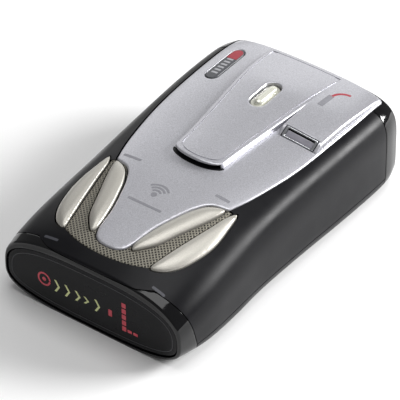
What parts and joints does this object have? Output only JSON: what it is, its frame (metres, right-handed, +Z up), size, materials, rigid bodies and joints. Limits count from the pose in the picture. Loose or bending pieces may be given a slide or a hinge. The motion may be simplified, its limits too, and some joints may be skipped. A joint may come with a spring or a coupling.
{
  "type": "radar detector",
  "caption": "Dashboard radar detector with a tapered black case, silver top cover, blade-shaped keys, a bracket release button and a side thumbwheel.",
  "frame": {"origin": "middle of the flat base, on the surface it stands on", "axes": "+Z up, +Y towards the windscreen end, -Y towards the display that faces the driver, +X to the right when looking at the display"},
  "size_m": [0.066, 0.11, 0.0337],
  "materials": {
    "satin_black_case": "satin",
    "gloss_black_bezel": "gloss",
    "smoked_window": "gloss",
    "dark_red_lens": "gloss",
    "silver_cover": "satin metallic paint",
    "bright_frame": "polished",
    "sensor_glass": "gloss",
    "badge_inlay": "satin",
    "pearl_silver_key": "satin metallic paint",
    "release_key": "gloss",
    "grille_mesh": "woven",
    "moulded_black": "matte",
    "spring_steel": "bright",
    "screw_steel": "zinc plated",
    "tinned_steel": "tin plated",
    "horn_metal": "die cast",
    "circuit_board": "solder mask",
    "paper_cone": "pulp"
  },
  "bodies": {
    "case": {"upper_case": "satin_black_case", "bottom_cover": "satin_black_case", "front_bezel": "gloss_black_bezel", "display_window": "smoked_window", "rear_bezel": "gloss_black_bezel", "rear_lens": "dark_red_lens", "top_cover": "silver_cover", "hood_lens": "smoked_window", "sensor_frame": "bright_frame", "sensor_window": "sensor_glass", "badge_plate": "badge_inlay", "speaker_grille": "grille_mesh", "bracket_guide": "moulded_black", "release_spring": "spring_steel", "volume_control": "tinned_steel", "power_jack": "moulded_black", "main_circuit_board": "circuit_board", "key_circuit_board": "circuit_board", "menu_switch": "moulded_black", "mute_switch": "moulded_black", "dim_switch": "moulded_black", "city_switch": "moulded_black", "display_module": "moulded_black", "display_board": "circuit_board", "speaker_frame": "tinned_steel", "speaker_cone": "paper_cone", "horn_antenna": "horn_metal", "mixer_shield": "tinned_steel", "processor_chip": "moulded_black", "front_laser_sensor": "moulded_black", "front_laser_lens": "dark_red_lens", "rear_laser_sensor": "moulded_black", "case_screw_1": "screw_steel", "case_screw_2": "screw_steel", "case_screw_3": "screw_steel", "case_screw_4": "screw_steel"},
    "menu_key": {"menu_button": "pearl_silver_key"},
    "mute_key": {"mute_button": "pearl_silver_key"},
    "dim_key": {"dim_button": "pearl_silver_key"},
    "city_key": {"city_button": "pearl_silver_key"},
    "bracket_release": {"release_button": "release_key", "bracket_latch": "moulded_black"},
    "thumbwheel": {"volume_wheel": "moulded_black"}
  },
  "joints": [
    {"name": "menu_press", "type": "slide", "parent": "case", "child": "menu_key", "axis": [0, 0, -1], "range_m": [0, 0.0006], "stiffness_N_per_m": 700, "springref_m": -0.0003},
    {"name": "mute_press", "type": "slide", "parent": "case", "child": "mute_key", "axis": [0, 0, -1], "range_m": [0, 0.0006], "stiffness_N_per_m": 700, "springref_m": -0.0003},
    {"name": "dim_press", "type": "slide", "parent": "case", "child": "dim_key", "axis": [0, 0, -1], "range_m": [0, 0.0006], "stiffness_N_per_m": 700, "springref_m": -0.0003},
    {"name": "city_press", "type": "slide", "parent": "case", "child": "city_key", "axis": [0, 0, -1], "range_m": [0, 0.0006], "stiffness_N_per_m": 700, "springref_m": -0.0003},
    {"name": "release_press", "type": "slide", "parent": "case", "child": "bracket_release", "axis": [0, 0, -1], "range_m": [0, 0.0013], "stiffness_N_per_m": 500, "springref_m": -0.0006, "deforming": ["release_spring"]},
    {"name": "volume_turn", "type": "hinge", "parent": "case", "child": "thumbwheel", "pos_m": [-0.02577, -0.019, 0.014], "axis": [0, 0, 1], "range_deg": [0, 270]}
  ]
}
